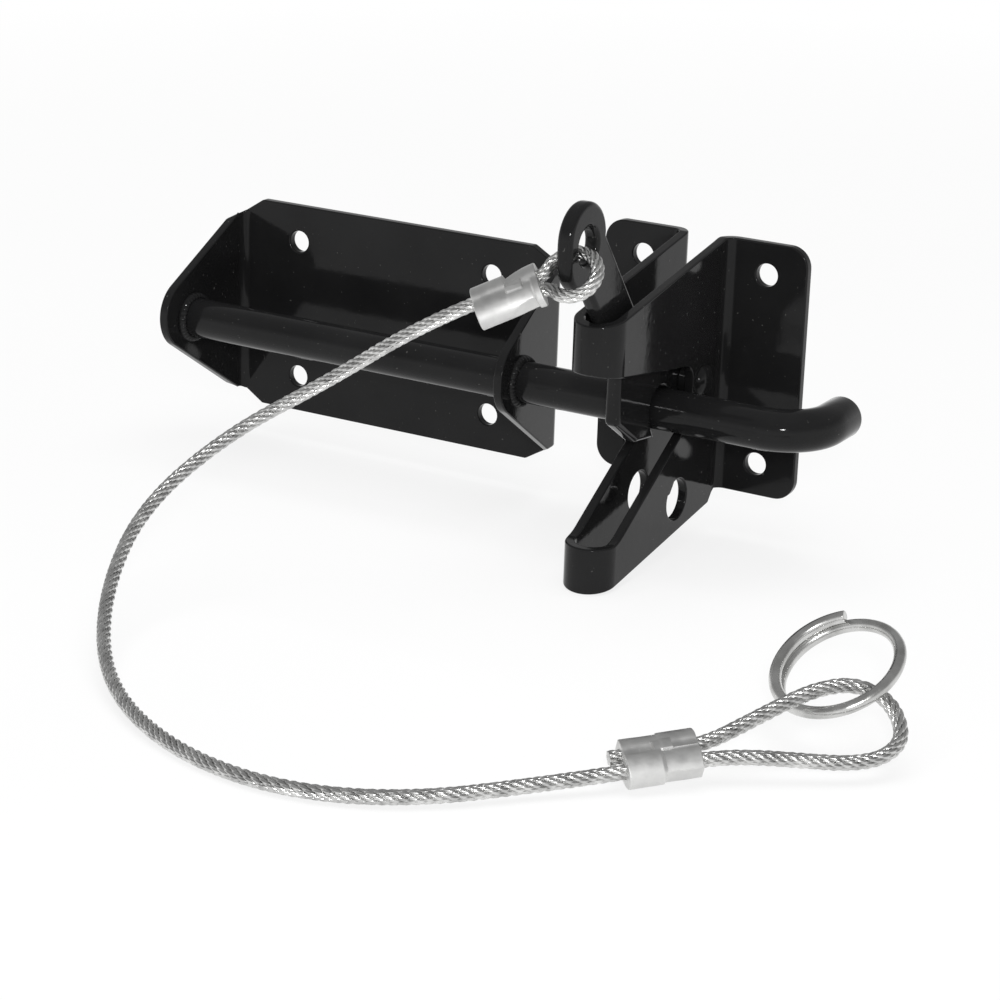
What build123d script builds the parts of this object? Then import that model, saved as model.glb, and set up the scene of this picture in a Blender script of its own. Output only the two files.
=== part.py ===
"""Gravity gate latch: post catch with a lifting lever, gate bracket with strike bar, pull cable.

Frame: +X along the strike bar, +Y into the post, +Z up. The origin is the centre of the catch's
four screw holes, on the plane of its back. Millimetres throughout.
"""
from math import atan2, cos, degrees, hypot, radians, sin, sqrt, tan
import os

from build123d import *

# Sheet metal that the catch and the gate bracket are folded from
sheet = 3.0
bend_radius = 2.8
screw_hole = 7.0

# Catch body: one sheet folded to a round-nosed channel with two flanges
channel_gap = 10.0
nose_axis_y = -66.5
flange_span = 68.0
flange_height = 78.6
flange_corner = 6.5
catch_hole_x = 41.6
catch_hole_z = 59.0
wall_top_back = 38.6
nose_top = 26.0
wall_bottom_back = -43.2
nose_bottom = -54.2
wall_root_y = -7.5

# Mouth of the catch that the strike bar runs into
mouth_back_y = -22.5
mouth_top_back = 3.8
mouth_top_nose = 11.8
ramp_top = -12.6
ramp_foot_y = -66.0
lower_nose_top = -40.2
mouth_corner = 4.5
ramp_round = 12.0
padlock_hole = 12.6
padlock_y = -29.0
padlock_z = -36.2

# Strike bar
bar_diameter = 12.7
bar_y = -31.2
bar_z = -8.3
bar_overhang = 1.1
bar_hook_x = 49.8
bar_hook_end_y = -6.0
bar_bend_radius = 15.0
bar_end_chamfer = 1.0
weld_width = 2.2
weld_height = 2.0

# Gate bracket: a plate with two folded ears that carry the bar
bracket_centre_x = -110.4
bracket_length = 123.0
bracket_height = 69.4
bracket_hole_x = 73.0
bracket_hole_z = 45.6
ear_tip_radius = 13.8
ear_root_height = 61.0
corner_cut_x = 10.5
corner_cut_z = 6.8
bar_fit = 0.08

# Lever and its pivot
lever_thickness = 4.8
pivot_y = -15.5
pivot_z = -2.3
pivot_boss = 9.5
rivet_shank = 6.4
rivet_head = 9.5
rivet_head_height = 2.4
rivet_fit = 0.08
spacer_diameter = 12.0
spacer_fit = 0.1
bar_pocket_fit = 0.35
bar_pocket_sweep = 80.0
hook_front_y = -58.5
hook_cam_top = -7.0
hook_cam_foot_y = -46.0
hook_cam_foot_z = -15.2
hook_heel_z = -17.0
arm_slope = 52.3
arm_width = 15.8
arm_stop_fit = 0.4
arm_elbow_z = 15.5
eye_centre_z = 52.5
eye_radius = 10.5
eye_oval = 5.0
eye_hole = 10.4
eye_hole_drop = 2.0
hook_round = 2.0
arm_round = 16.0

# Pull cable, its two crimped loops and the split ring
cable = 4.0
strand_pitch = 4.5
ferrule_length = 19.3
ferrule_width = 14.0
ferrule_height = 8.4
crimp_depth = 1.5
crimp_length = 8.0
crimp_from_mouth = 8.0
ferrule_edge = 0.7
eye_loop_radius = 6.5
eye_loop_tilt = 45.0
loop_fit = 0.5
eye_loop_lead = 143.0
eye_loop_reach = 8.7
ring_loop_radius = 13.0
ring_loop_reach = 41.0
ring_loop_heading = 45.5
ring_loop_pitch = 4.5
ring_loop_roll = 33.0
ring_loop_start = (75.0, -186.5, -48.0)
cable_tail = 3.0
ring_wire = 3.3
ring_radius = 16.5
ring_turns = 1.32
ring_coil_fit = 0.1
ring_advance = 3.6
ring_shift = 21.0
ring_lift = -4.1
ring_tip = -22.0
ring_lean = -24.2
ring_start = 173.4

# Free stretch of the cable, from the upper ferrule round to the lower one
cable_route = [
    (-66.0, -106.0, 6.0),
    (-89.0, -124.0, -10.0),
    (-98.0, -152.0, -26.0),
    (-88.0, -182.0, -40.0),
    (-65.0, -212.0, -49.5),
    (-31.0, -233.0, -52.0),
    (6.0, -240.0, -52.0),
    (38.0, -228.5, -51.6),
]
cable_lead = 17.0
corner_share = 0.45

# Values worked out from the sizes above
bar_radius = bar_diameter / 2
channel_width = channel_gap + 2 * sheet
nose_front_y = nose_axis_y - channel_width / 2
back_bend = bend_radius + sheet
bracket_right_x = bracket_centre_x + bracket_length / 2
bracket_left_x = bracket_centre_x - bracket_length / 2
bar_left_x = bracket_left_x - bar_overhang
cut_reach = 2 * bracket_length
cut_margin = 2.0

os.makedirs("parts", exist_ok=True)


def save(node, name):
    """Label a finished sub-part and write it as a STEP file."""
    node.part.label = name
    export_step(node.part, f"parts/{name}.step")


# Catch body
with BuildPart() as catch_body:
    with BuildSketch(Plane.XY.offset(nose_bottom - cut_margin)):
        with Locations((0, -sheet / 2)):
            Rectangle(flange_span, sheet)
        with Locations((0, nose_axis_y / 2)):
            Rectangle(channel_width, -nose_axis_y)
        with Locations((0, nose_axis_y)):
            Circle(channel_width / 2)
        inner_corners = [Vector(side * channel_width / 2, -sheet) for side in (-1, 1)]
        fillet([vertices().sort_by_distance(corner)[0] for corner in inner_corners], bend_radius)
        with Locations((0, nose_axis_y / 2)):
            Rectangle(channel_gap, -nose_axis_y, mode=Mode.SUBTRACT)
        with Locations((0, nose_axis_y)):
            Circle(channel_gap / 2, mode=Mode.SUBTRACT)
        back_corners = [Vector(side * channel_gap / 2, 0) for side in (-1, 1)]
        fillet([vertices().sort_by_distance(corner)[0] for corner in back_corners], back_bend)
    extrude(amount=flange_height / 2 - nose_bottom + 2 * cut_margin)
    # Side outline of the folded sheet
    with BuildSketch(Plane.YZ):
        with BuildLine():
            Polyline(
                (0, flange_height / 2),
                (-sheet - bend_radius / 2, flange_height / 2),
                (wall_root_y, wall_top_back),
                (nose_front_y, nose_top),
                (nose_front_y, nose_bottom),
                (wall_root_y, wall_bottom_back),
                (-sheet - bend_radius / 2, -flange_height / 2),
                (0, -flange_height / 2),
                close=True,
            )
        make_face()
    extrude(amount=flange_span, both=True, mode=Mode.INTERSECT)
    # Mouth for the bar, cut through both walls and the nose
    with BuildSketch(Plane.YZ):
        with BuildLine():
            Polyline(
                (nose_front_y - cut_margin, mouth_top_nose),
                (mouth_back_y, mouth_top_back),
                (mouth_back_y, ramp_top),
                (ramp_foot_y, lower_nose_top),
                (nose_front_y - cut_margin, lower_nose_top),
                close=True,
            )
        make_face()
        mouth_ends = [Vector(mouth_back_y, mouth_top_back), Vector(mouth_back_y, ramp_top)]
        fillet([vertices().sort_by_distance(corner)[0] for corner in mouth_ends], mouth_corner)
        foot = vertices().sort_by_distance(Vector(ramp_foot_y, lower_nose_top))[0]
        fillet(foot, ramp_round)
    extrude(amount=channel_width, both=True, mode=Mode.SUBTRACT)
    # Screw holes, padlock hole and rivet hole
    with BuildSketch(Plane.XZ):
        with GridLocations(catch_hole_x, catch_hole_z, 2, 2):
            Circle(screw_hole / 2)
    extrude(amount=sheet, both=True, mode=Mode.SUBTRACT)
    with BuildSketch(Plane.YZ):
        with Locations((padlock_y, padlock_z)):
            Circle(padlock_hole / 2)
        with Locations((pivot_y, pivot_z)):
            Circle(rivet_shank / 2 + rivet_fit)
    extrude(amount=channel_width, both=True, mode=Mode.SUBTRACT)
    upright_edges = edges().filter_by(Axis.Y).group_by(Axis.X)
    fillet(upright_edges[0] + upright_edges[-1], flange_corner)
save(catch_body, "catch_body")

# Gate bracket
with BuildPart() as gate_bracket:
    with BuildSketch(Plane.XY.offset(bar_z - bracket_height / 2)):
        with Locations((bracket_centre_x, bar_y / 2 - ear_tip_radius / 2)):
            Rectangle(bracket_length, ear_tip_radius - bar_y)
        corners = [Vector(x, 0) for x in (bracket_left_x, bracket_right_x)]
        fillet([vertices().sort_by_distance(corner)[0] for corner in corners], back_bend)
        with Locations((bracket_centre_x, bar_y / 2 - ear_tip_radius / 2 - sheet)):
            Rectangle(bracket_length - 2 * sheet, ear_tip_radius - bar_y, mode=Mode.SUBTRACT)
        corners = [Vector(x, -sheet) for x in (bracket_left_x + sheet, bracket_right_x - sheet)]
        fillet([vertices().sort_by_distance(corner)[0] for corner in corners], bend_radius)
    extrude(amount=bracket_height)
    # Side outline: the plate at full height, the ears tapering to a round tip about the bar
    with BuildSketch(Plane.YZ):
        with Locations((bar_y, bar_z)):
            Circle(ear_tip_radius)
        with Locations((-sheet, bar_z)):
            Rectangle(sheet, ear_root_height)
        make_hull()
        with Locations((-sheet / 2, bar_z)):
            Rectangle(sheet, bracket_height)
    extrude(amount=cut_reach, both=True, mode=Mode.INTERSECT)
    # Sloping corners where the plate meets the ears
    with BuildSketch(Plane.XZ):
        for side_x in (-1, 1):
            for side_z in (-1, 1):
                corner_x = bracket_centre_x + side_x * bracket_length / 2
                corner_z = bar_z + side_z * bracket_height / 2
                with BuildLine():
                    Polyline(
                        (corner_x, corner_z),
                        (corner_x - side_x * corner_cut_x, corner_z),
                        (corner_x, corner_z - side_z * corner_cut_z),
                        close=True,
                    )
                make_face()
    extrude(amount=-2 * bar_y, both=True, mode=Mode.SUBTRACT)
    with BuildSketch(Plane.XZ):
        with Locations((bracket_centre_x, bar_z)):
            with GridLocations(bracket_hole_x, bracket_hole_z, 2, 2):
                Circle(screw_hole / 2)
    extrude(amount=sheet, both=True, mode=Mode.SUBTRACT)
    with BuildSketch(Plane.YZ):
        with Locations((bar_y, bar_z)):
            Circle(bar_radius + bar_fit)
    extrude(amount=cut_reach, both=True, mode=Mode.SUBTRACT)
save(gate_bracket, "gate_bracket")

# Strike bar: straight through both ears and the mouth, hooked back at its free end
with BuildPart() as strike_bar:
    with BuildLine() as bar_path:
        FilletPolyline(
            (bar_left_x, bar_y, bar_z),
            (bar_hook_x, bar_y, bar_z),
            (bar_hook_x, bar_hook_end_y, bar_z),
            radius=bar_bend_radius,
        )
    with BuildSketch(Plane(origin=bar_path.line @ 0, z_dir=bar_path.line % 0)):
        Circle(bar_radius)
    sweep()
    end_rims = [
        edges().filter_by(GeomType.CIRCLE).sort_by(Axis.X)[0],
        edges().filter_by(GeomType.CIRCLE).sort_by(Axis.Y)[-1],
    ]
    chamfer(end_rims, bar_end_chamfer)
    # Weld bead on the right-hand side of each ear
    for ear_face_x in (bracket_left_x + sheet, bracket_right_x):
        with BuildSketch(Plane.XZ.offset(-bar_y)):
            with BuildLine():
                Polyline(
                    (ear_face_x, bar_z + bar_radius / 2),
                    (ear_face_x, bar_z + bar_radius + weld_height),
                    (ear_face_x + weld_width, bar_z + bar_radius),
                    (ear_face_x + weld_width, bar_z + bar_radius / 2),
                    close=True,
                )
            make_face()
        revolve(axis=Axis((0, bar_y, bar_z), (1, 0, 0)))
save(strike_bar, "strike_bar")

# Lever: pivot boss, hook in front of the bar and arm up to the eye
arm_run = tan(radians(90 - arm_slope))
nose_inside = sqrt(channel_gap**2 - lever_thickness**2) / 2
stop_y = nose_axis_y - nose_inside + arm_stop_fit
top_slope = (wall_top_back - nose_top) / (wall_root_y - nose_front_y)
stop_z = nose_top + top_slope * (stop_y - nose_front_y)
arm_across = arm_width / sin(radians(arm_slope))


def arm_front(z):
    """Y of the arm's front edge at a height."""
    return stop_y - (z - stop_z) * arm_run


def arm_rear(z):
    """Y of the arm's rear edge at a height."""
    return arm_front(z) + arm_across


eye_y = (arm_front(eye_centre_z) + arm_rear(eye_centre_z)) / 2
bar_swing = hypot(bar_y - pivot_y, bar_z - pivot_z)
bar_bearing = degrees(atan2(bar_z - pivot_z, bar_y - pivot_y)) % 360
pocket_half = bar_radius + bar_pocket_fit
hook_front_top = stop_z + (stop_y - hook_front_y) / arm_run

with BuildPart() as latch_lever:
    with BuildSketch(Plane.YZ):
        with BuildLine():
            Polyline(
                (hook_front_y, hook_cam_top),
                (hook_front_y, hook_front_top),
                (arm_front(eye_centre_z), eye_centre_z),
                (arm_rear(eye_centre_z), eye_centre_z),
                (arm_rear(arm_elbow_z), arm_elbow_z),
                (pivot_y, pivot_z + pivot_boss),
                (pivot_y, pivot_z - pivot_boss),
                (bar_y, hook_heel_z),
                (hook_cam_foot_y, hook_cam_foot_z),
                close=True,
            )
        make_face()
        elbow = vertices().sort_by_distance(Vector(arm_rear(arm_elbow_z), arm_elbow_z))[0]
        fillet(elbow, arm_round)
        hook_tips = [Vector(hook_front_y, hook_cam_top), Vector(hook_cam_foot_y, hook_cam_foot_z)]
        fillet([vertices().sort_by_distance(tip)[0] for tip in hook_tips], hook_round)
        with Locations((pivot_y, pivot_z)):
            Circle(pivot_boss)
        with Locations((eye_y, eye_centre_z - eye_oval / 2)):
            SlotCenterToCenter(eye_oval, 2 * eye_radius, rotation=90)
        # Pocket that the bar leaves along its arc about the pivot
        with Locations((bar_y, bar_z)):
            Circle(pocket_half, mode=Mode.SUBTRACT)
        with BuildLine():
            outer = CenterArc((pivot_y, pivot_z), bar_swing + pocket_half, bar_bearing, bar_pocket_sweep)
            inner = CenterArc((pivot_y, pivot_z), bar_swing - pocket_half, bar_bearing, bar_pocket_sweep)
            Line(outer @ 0, inner @ 0)
            Line(outer @ 1, inner @ 1)
        make_face(mode=Mode.SUBTRACT)
        with Locations((pivot_y, pivot_z)):
            Circle(rivet_shank / 2 + rivet_fit, mode=Mode.SUBTRACT)
        with Locations((eye_y, eye_centre_z - eye_hole_drop)):
            Circle(eye_hole / 2, mode=Mode.SUBTRACT)
    extrude(amount=lever_thickness / 2, both=True)
save(latch_lever, "latch_lever")

# Rivet with a domed head on each side, and the two spacers beside the lever
with BuildPart() as pivot_rivet:
    with BuildSketch(Plane.XY.offset(pivot_z)):
        head_face = channel_width / 2
        dome = (rivet_head**2 / 4 + rivet_head_height**2) / (2 * rivet_head_height)
        with BuildLine():
            Line((0, pivot_y), (head_face + rivet_head_height, pivot_y))
            RadiusArc(
                (head_face + rivet_head_height, pivot_y),
                (head_face, pivot_y + rivet_head / 2),
                -dome,
            )
            Polyline(
                (head_face, pivot_y + rivet_head / 2),
                (head_face, pivot_y + rivet_shank / 2),
                (0, pivot_y + rivet_shank / 2),
                (0, pivot_y),
            )
        make_face()
        mirror(about=Plane.YZ)
    revolve(axis=Axis((0, pivot_y, pivot_z), (1, 0, 0)))
save(pivot_rivet, "pivot_rivet")

spacer_width = (channel_gap - lever_thickness) / 2 - 2 * spacer_fit
for name, side in (("left_spacer", -1), ("right_spacer", 1)):
    middle = side * (lever_thickness / 2 + spacer_fit + spacer_width / 2)
    with BuildPart() as spacer:
        with BuildSketch(Plane.YZ.offset(middle - spacer_width / 2)):
            with Locations((pivot_y, pivot_z)):
                Circle(spacer_diameter / 2)
                Circle(rivet_shank / 2 + rivet_fit, mode=Mode.SUBTRACT)
        extrude(amount=spacer_width)
    save(spacer, name)


def loop_line(plane, centre, radius, lead, reach):
    """Path of a cable loop: a round end, and two strands that bend together at the ferrule's mouth."""
    half = strand_pitch / 2
    bend = (reach**2 - radius**2 + half**2) / (2 * (radius - half))
    swing = degrees(atan2(half + bend, reach))
    bend_centres = []
    for side in (1, -1):
        spot = Vector(reach, side * (half + bend)).rotate(Axis.Z, lead) + Vector(*centre)
        bend_centres.append((spot.X, spot.Y))
    with BuildLine(plane) as path:
        CenterArc(bend_centres[0], bend, lead + 270, swing - 90)
        CenterArc(centre, radius, lead + swing, 360 - 2 * swing)
        CenterArc(bend_centres[1], bend, lead + 180 - swing, swing - 90)
    return Wire(path.edges())


def cable_tube(path):
    """Round cable along a path."""
    with BuildPart() as tube:
        with BuildSketch(Plane(origin=path @ 0, z_dir=path % 0)):
            Circle(cable / 2)
        sweep(path=path)
    return tube


def crimped_ferrule(plane):
    """Double-barrel sleeve along the plane's normal, squeezed in at its waist."""
    with BuildPart() as sleeve:
        with BuildSketch(plane):
            SlotOverall(ferrule_width, ferrule_height)
        extrude(amount=ferrule_length)
        ends = faces().sort_by(Axis(plane.origin, plane.z_dir))
        chamfer(ends[0].edges() + ends[-1].edges(), ferrule_edge)
        squeeze = (crimp_length**2 / 4 + crimp_depth**2) / (2 * crimp_depth)
        with BuildSketch(Plane(origin=plane.origin, x_dir=plane.x_dir, z_dir=-plane.y_dir)):
            for side in (-1, 1):
                with Locations((side * (ferrule_width / 2 + squeeze - crimp_depth), crimp_from_mouth)):
                    Circle(squeeze)
        extrude(amount=ferrule_height, both=True, mode=Mode.SUBTRACT)
    return sleeve


# Upper loop through the lever's eye, in a plane that hangs forward and down from the hole
tilt = radians(eye_loop_tilt)
eye_plane = Plane(
    origin=(0, eye_y, eye_centre_z - eye_hole_drop),
    x_dir=(1, 0, 0),
    z_dir=(0, sin(tilt), -cos(tilt)),
)
eye_loop_rise = sqrt(eye_loop_radius**2 - lever_thickness**2 / 4)
eye_loop_centre = (0, eye_hole / 2 - cable / 2 - loop_fit + eye_loop_rise)
eye_path = loop_line(eye_plane, eye_loop_centre, eye_loop_radius, eye_loop_lead, eye_loop_reach)
lead_x = cos(radians(eye_loop_lead))
lead_y = sin(radians(eye_loop_lead))
upper_plane = Plane(
    origin=eye_plane.from_local_coords(
        Vector(lead_x * eye_loop_reach, eye_loop_centre[1] + lead_y * eye_loop_reach)
    ),
    x_dir=eye_plane.x_dir * -lead_y + eye_plane.y_dir * lead_x,
    z_dir=eye_plane.x_dir * lead_x + eye_plane.y_dir * lead_y,
)
cable_eye_loop = cable_tube(eye_path)
save(cable_eye_loop, "cable_eye_loop")
upper_ferrule = crimped_ferrule(upper_plane)
save(upper_ferrule, "upper_ferrule")

# Lower loop and its ferrule, lying tilted on the ground
heading = radians(ring_loop_heading)
pitch = radians(ring_loop_pitch)
roll = radians(ring_loop_roll)
along = Vector(cos(pitch) * cos(heading), cos(pitch) * sin(heading), sin(pitch))
across = Vector(-sin(heading), cos(heading), 0)
upright = along.cross(across)
loop_plane = Plane(origin=ring_loop_start, x_dir=along, z_dir=upright * cos(roll) - across * sin(roll))
lower_plane = Plane(
    origin=loop_plane.from_local_coords(Vector(ferrule_length, 0)),
    x_dir=loop_plane.y_dir,
    z_dir=-loop_plane.x_dir,
)
lower_ferrule = crimped_ferrule(lower_plane)
save(lower_ferrule, "lower_ferrule")
ring_loop_centre = (ferrule_length + ring_loop_reach, 0)
ring_path = loop_line(loop_plane, ring_loop_centre, ring_loop_radius, 180, ring_loop_reach)
cable_ring_loop = cable_tube(ring_path)
save(cable_ring_loop, "cable_ring_loop")

# Cut end of the cable, just out of the lower ferrule
with BuildPart() as cable_end:
    with BuildSketch(Plane(origin=ring_loop_start, x_dir=loop_plane.y_dir, z_dir=-loop_plane.x_dir)):
        with Locations((strand_pitch / 2, 0)):
            Circle(cable / 2)
    extrude(amount=cable_tail)
save(cable_end, "cable_end")

# Split ring: a little over one turn of round wire, linked through the lower loop
ring_centre = Pos(ring_loop_centre[0] + ring_advance, ring_shift, ring_lift)
ring_turn = Rotation(ring_tip, ring_lean, ring_start)
coil_pitch = ring_wire + ring_coil_fit
coil_height = coil_pitch * ring_turns
with BuildPart() as pull_ring:
    with BuildLine() as coil:
        turn = Helix(
            coil_pitch, coil_height, ring_radius,
            center=(0, 0, -coil_height / 2), lefthand=True, mode=Mode.PRIVATE,
        )
        add(loop_plane.location * ring_centre * ring_turn * turn)
    with BuildSketch(Plane(origin=coil.line @ 0, z_dir=coil.line % 0)):
        Circle(ring_wire / 2)
    sweep()
save(pull_ring, "pull_ring")

# Free stretch of the cable
upper_exit = upper_plane.from_local_coords(Vector(strand_pitch / 2, 0, ferrule_length))
lower_exit = loop_plane.from_local_coords(Vector(0, -strand_pitch / 2))
route = [
    upper_exit,
    upper_exit + upper_plane.z_dir * cable_lead,
    *[Vector(*point) for point in cable_route],
    lower_exit - loop_plane.x_dir * cable_lead,
    lower_exit,
]


def corner_radii(points):
    """Largest arc that each corner's two runs leave room for."""
    radii = []
    for before, here, after in zip(points, points[1:], points[2:]):
        turn = radians((here - before).get_angle(after - here))
        shorter = min((here - before).length, (after - here).length)
        radii.append(corner_share * shorter / tan(turn / 2))
    return radii


radii = corner_radii(route)
with BuildLine() as cable_path:
    FilletPolyline(*route, radius=radii)
pull_cable = cable_tube(cable_path.wire())
save(pull_cable, "pull_cable")
print("cable radii", [round(r, 1) for r in radii], "length", round(cable_path.wire().length, 1))
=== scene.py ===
"""Gravity gate latch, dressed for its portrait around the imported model.

Everything is in metres in the part's own frame: +X along the strike bar, +Y into the post, +Z up.
"""

from contextlib import contextmanager
from dataclasses import dataclass, field
from enum import Enum
import logging
from math import copysign, cos, exp, pi, radians, sin, tau
from typing import Callable, Iterator, Optional, Sequence

import bmesh
import bpy
from mathutils import Matrix, Vector


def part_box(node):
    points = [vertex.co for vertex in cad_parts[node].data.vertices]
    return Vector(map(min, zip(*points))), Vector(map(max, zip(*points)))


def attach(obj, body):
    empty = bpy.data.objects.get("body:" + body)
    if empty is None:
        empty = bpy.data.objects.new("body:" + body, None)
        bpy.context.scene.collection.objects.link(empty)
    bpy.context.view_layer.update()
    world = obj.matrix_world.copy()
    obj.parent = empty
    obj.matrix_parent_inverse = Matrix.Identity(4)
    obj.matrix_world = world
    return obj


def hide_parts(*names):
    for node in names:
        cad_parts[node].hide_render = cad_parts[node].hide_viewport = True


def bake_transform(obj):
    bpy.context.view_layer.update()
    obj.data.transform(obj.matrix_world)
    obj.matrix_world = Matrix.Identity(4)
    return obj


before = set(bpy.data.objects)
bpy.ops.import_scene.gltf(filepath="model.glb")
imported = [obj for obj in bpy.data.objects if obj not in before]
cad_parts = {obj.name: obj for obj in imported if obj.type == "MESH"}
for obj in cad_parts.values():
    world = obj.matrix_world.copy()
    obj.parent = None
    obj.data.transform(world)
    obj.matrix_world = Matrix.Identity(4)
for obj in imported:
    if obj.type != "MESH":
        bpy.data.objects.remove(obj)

Piece = bpy.types.Object
Socket = bpy.types.NodeSocket
Point = tuple[float, float, float]
Pair = tuple[float, float]

LOG = logging.getLogger("gravity_latch")
MM = 0.001
HAIR = 0.001 * MM  # Slack when places are compared or merged
RIGHT_ANGLE = pi / 2
QUAD = 4
SPLINE_ORDER = 3  # Keeps a smooth line near its control points
ALONG_BAR = ((0, 0, -1), (0, 1, 0), (1, 0, 0))  # Local axes, with Z laid along +X
NOISE_RANGE = (0.3, 0.7)  # Where most of a noise's values lie


class Body(Enum):
    """Bodies of the latch that pieces ride on."""

    CATCH = "catch"
    LEVER = "lever"


class Slot(Enum):
    """Material slots of the record."""

    COAT = "black_powder_coat"
    ROPE = "galvanized_wire_rope"
    SLEEVE = "crimped_aluminium"
    RING = "bright_plated_steel"


# Edit-mode helpers


def select_only(piece: Piece) -> None:
    """Select one object alone and make it active.

    Args:
        piece: Object to select.
    """
    bpy.ops.object.select_all(action="DESELECT")
    piece.select_set(True)
    bpy.context.view_layer.objects.active = piece


@contextmanager
def edit_mode(piece: Piece) -> Iterator[None]:
    """Open one piece alone in edit mode with nothing selected.

    Args:
        piece: Mesh object to edit.

    Returns:
        A context that ends in object mode.
    """
    select_only(piece)
    bpy.ops.object.mode_set(mode="EDIT")
    bpy.ops.mesh.select_all(action="DESELECT")
    yield
    bpy.ops.object.mode_set(mode="OBJECT")


def pick_verts(piece: Piece, test: Callable[[Vector], bool]) -> None:
    """Select the vertices of the edit mesh that pass a test on their place.

    Args:
        piece: Object in edit mode.
        test: Says whether a point is wanted.
    """
    bpy.ops.mesh.select_mode(type="VERT")
    bpy.ops.mesh.select_all(action="DESELECT")
    mesh = bmesh.from_edit_mesh(piece.data)
    for vert in mesh.verts:
        if test(vert.co):
            vert.select_set(True)
    mesh.select_flush(True)
    bmesh.update_edit_mesh(piece.data)


def pick_edges(piece: Piece, test: Callable[[bmesh.types.BMEdge], bool]) -> None:
    """Select the edges of the edit mesh that pass a test.

    Args:
        piece: Object in edit mode.
        test: Says whether an edge is wanted.
    """
    bpy.ops.mesh.select_mode(type="EDGE")
    bpy.ops.mesh.select_all(action="DESELECT")
    mesh = bmesh.from_edit_mesh(piece.data)
    for edge in mesh.edges:
        if test(edge):
            edge.select_set(True)
    bmesh.update_edit_mesh(piece.data)


def draw_out(*move: float) -> None:
    """Extrude what is selected in the edit mesh.

    Args:
        move: Distance along X, Y and Z.
    """
    bpy.ops.mesh.extrude_region_move(TRANSFORM_OT_translate={"value": move})


def merge_doubles(threshold: float) -> None:
    """Merge the points of the edit mesh that lie together.

    Args:
        threshold: Largest distance that is merged.
    """
    bpy.ops.mesh.select_all(action="SELECT")
    bpy.ops.mesh.remove_doubles(threshold=threshold)


def face_outwards() -> None:
    """Turn every face of the edit mesh outwards."""
    bpy.ops.mesh.select_all(action="SELECT")
    bpy.ops.mesh.normals_make_consistent(inside=False)


def apply_modifier(piece: Piece, kind: str, **settings: object) -> None:
    """Add a modifier to a piece, set it up and apply it.

    Args:
        piece: Object to change.
        kind: Modifier type.
        settings: Modifier properties by name.
    """
    select_only(piece)
    modifier = piece.modifiers.new(kind.title(), kind)
    for key, value in settings.items():
        setattr(modifier, key, value)
    bpy.ops.object.modifier_apply(modifier=modifier.name)


def settle(piece: Piece, matrix: Optional[Matrix] = None) -> None:
    """Put a piece's place into its mesh and leave its object at the origin.

    Args:
        piece: Object to settle.
        matrix: Extra move into the part's frame, after the object's own.
    """
    select_only(piece)
    bpy.ops.object.transform_apply(location=True, rotation=True, scale=True)
    if matrix is not None:
        piece.data.transform(matrix)
        piece.data.update()


def smooth(piece: Piece, degrees_limit: float) -> None:
    """Shade a piece smooth, with edges sharper than a limit left crisp.

    Args:
        piece: Object to shade.
        degrees_limit: Sharpest angle that is shaded over.
    """
    select_only(piece)
    bpy.ops.object.shade_smooth_by_angle(angle=radians(degrees_limit))


def show(piece: Piece) -> Piece:
    """Link a new object to the scene.

    Args:
        piece: Object to link.

    Returns:
        The same object.
    """
    bpy.context.scene.collection.objects.link(piece)
    return piece


def primitive(name: str, add: Callable[..., object], **settings: object) -> Piece:
    """Add a primitive, and name it and its mesh.

    Args:
        name: Name of both.
        add: Operator that adds it.
        settings: The operator's settings.

    Returns:
        The new object.
    """
    bpy.ops.object.select_all(action="DESELECT")
    add(**settings)
    piece = bpy.context.active_object
    piece.name = name
    piece.data.name = name
    return piece


def axes_matrix(origin: Point, *axes: Point) -> Matrix:
    """Matrix of a local frame.

    Args:
        origin: Place of the frame, in metres.
        axes: Directions of its X, Y and Z axes.

    Returns:
        The matrix from local to the part's frame.
    """
    return Matrix.Translation(origin) @ Matrix(axes).transposed().to_4x4()


# Finishes


class NodeGraph:
    """A node tree under construction."""

    def __init__(self, tree: bpy.types.NodeTree, coords: str) -> None:
        """Open a tree and give it texture coordinates.

        Args:
            tree: Tree that gets the nodes.
            coords: Kind of coordinates that its patterns read.
        """
        self.tree = tree
        self.coords = self.node("TexCoord").outputs[coords]

    def node(self, kind: str, **inputs: object) -> bpy.types.Node:
        """Add a node and set or link its inputs by name.

        Args:
            kind: Node type, without its ShaderNode prefix.
            inputs: Values or sockets, with underscores for spaces.

        Returns:
            The new node.
        """
        node = self.tree.nodes.new("ShaderNode" + kind)
        self.plug(node, **inputs)
        return node

    def plug(self, node: bpy.types.Node, **inputs: object) -> None:
        """Set or link inputs of a node by name.

        Args:
            node: Node to set up.
            inputs: Values or sockets, with underscores for spaces.
        """
        for key, value in inputs.items():
            self.feed(node.inputs[key.replace("_", " ")], value)

    def feed(self, socket: Socket, value: object) -> None:
        """Set a socket's value, or link another socket to it.

        Args:
            socket: Input to feed.
            value: Value, or socket to link.
        """
        if isinstance(value, Socket):
            self.tree.links.new(value, socket)
        else:
            socket.default_value = value

    def combine(self, operation: str, *numbers: Socket) -> Socket:
        """Combine two numbers.

        Args:
            operation: Kind of sum.
            numbers: The two numbers.

        Returns:
            The result.
        """
        node = self.node("Math")
        node.operation = operation
        for socket, number in zip(node.inputs, numbers):
            self.feed(socket, number)
        return node.outputs[0]

    def spread(self, value: Socket, reads: Pair, gives: Pair) -> Socket:
        """Map a value's range to another range.

        Args:
            value: Socket to read.
            reads: Values that give the first and the last result.
            gives: First and last result.

        Returns:
            The mapped value.
        """
        node = self.node(
            "MapRange", Value=value, From_Min=reads[0], From_Max=reads[1],
            To_Min=gives[0], To_Max=gives[1],
        )
        return node.outputs["Result"]


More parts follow.
